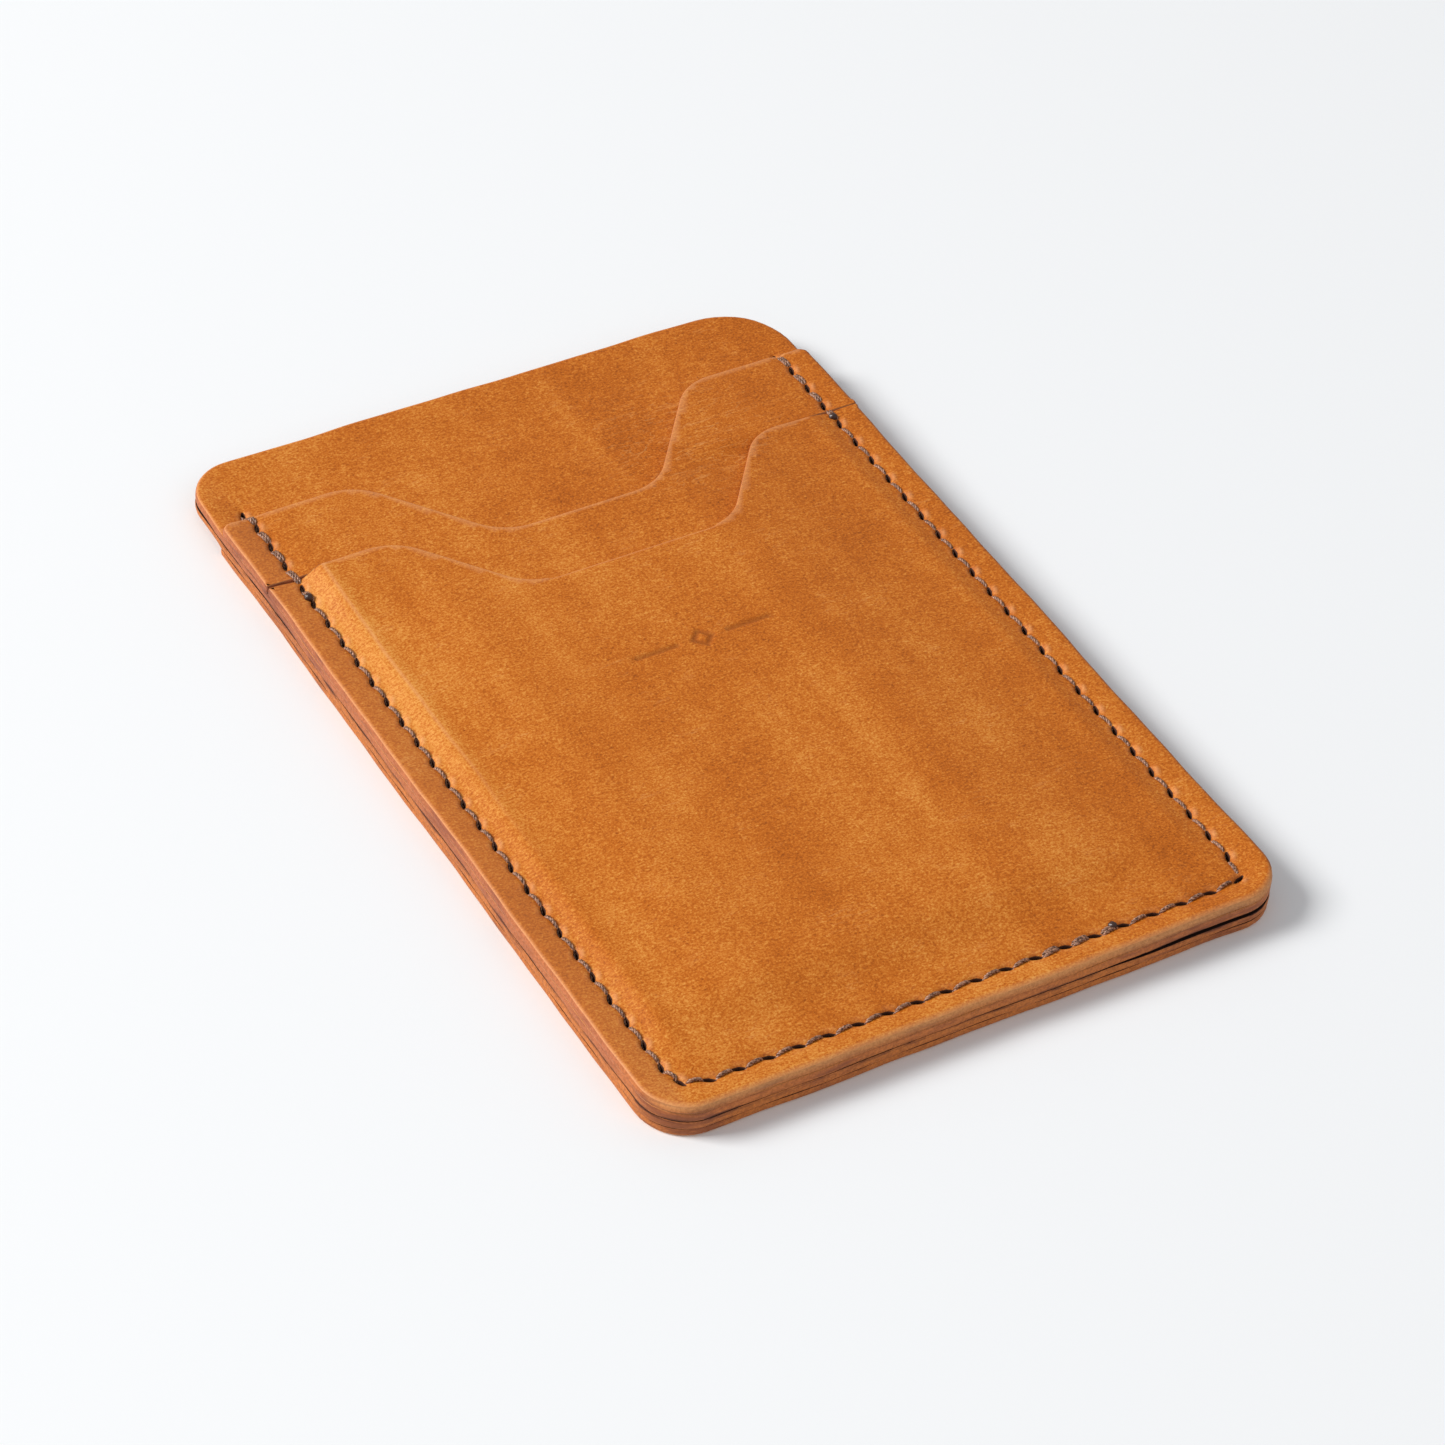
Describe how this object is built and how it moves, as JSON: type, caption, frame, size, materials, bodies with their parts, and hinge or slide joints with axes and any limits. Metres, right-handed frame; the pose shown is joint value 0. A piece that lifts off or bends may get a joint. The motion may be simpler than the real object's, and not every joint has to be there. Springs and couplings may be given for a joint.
{
  "type": "card holder",
  "caption": "Slim upright leather card holder with stacked front pockets cut in thumb curves, a back pocket and an open note sleeve, lockstitched on three sides.",
  "frame": {"origin": "under the middle of the holder, on the surface that its back lies on", "axes": "+X across the holder to its right edge, +Y up its height to the pocket mouths, +Z out of its front face"},
  "size_m": [0.0762, 0.113, 0.0055],
  "materials": {
    "pocket_leather": "smooth vegetable-tanned leather, waxed, warm tan",
    "panel_leather": "smooth vegetable-tanned leather, waxed, warm tan",
    "back_pocket_leather": "smooth vegetable-tanned leather, waxed, warm tan",
    "thread": "waxed twisted thread, dark brown"
  },
  "bodies": {
    "root": {"back_pocket": "back_pocket_leather", "back_panel": "panel_leather", "front_panel": "panel_leather", "upper_pocket": "pocket_leather", "front_pocket": "pocket_leather", "left_seam_needle_thread": "thread", "left_seam_bobbin_thread": "thread", "right_seam_needle_thread": "thread", "right_seam_bobbin_thread": "thread", "foot_seam_needle_thread": "thread", "foot_seam_bobbin_thread": "thread"}
  },
  "joints": []
}
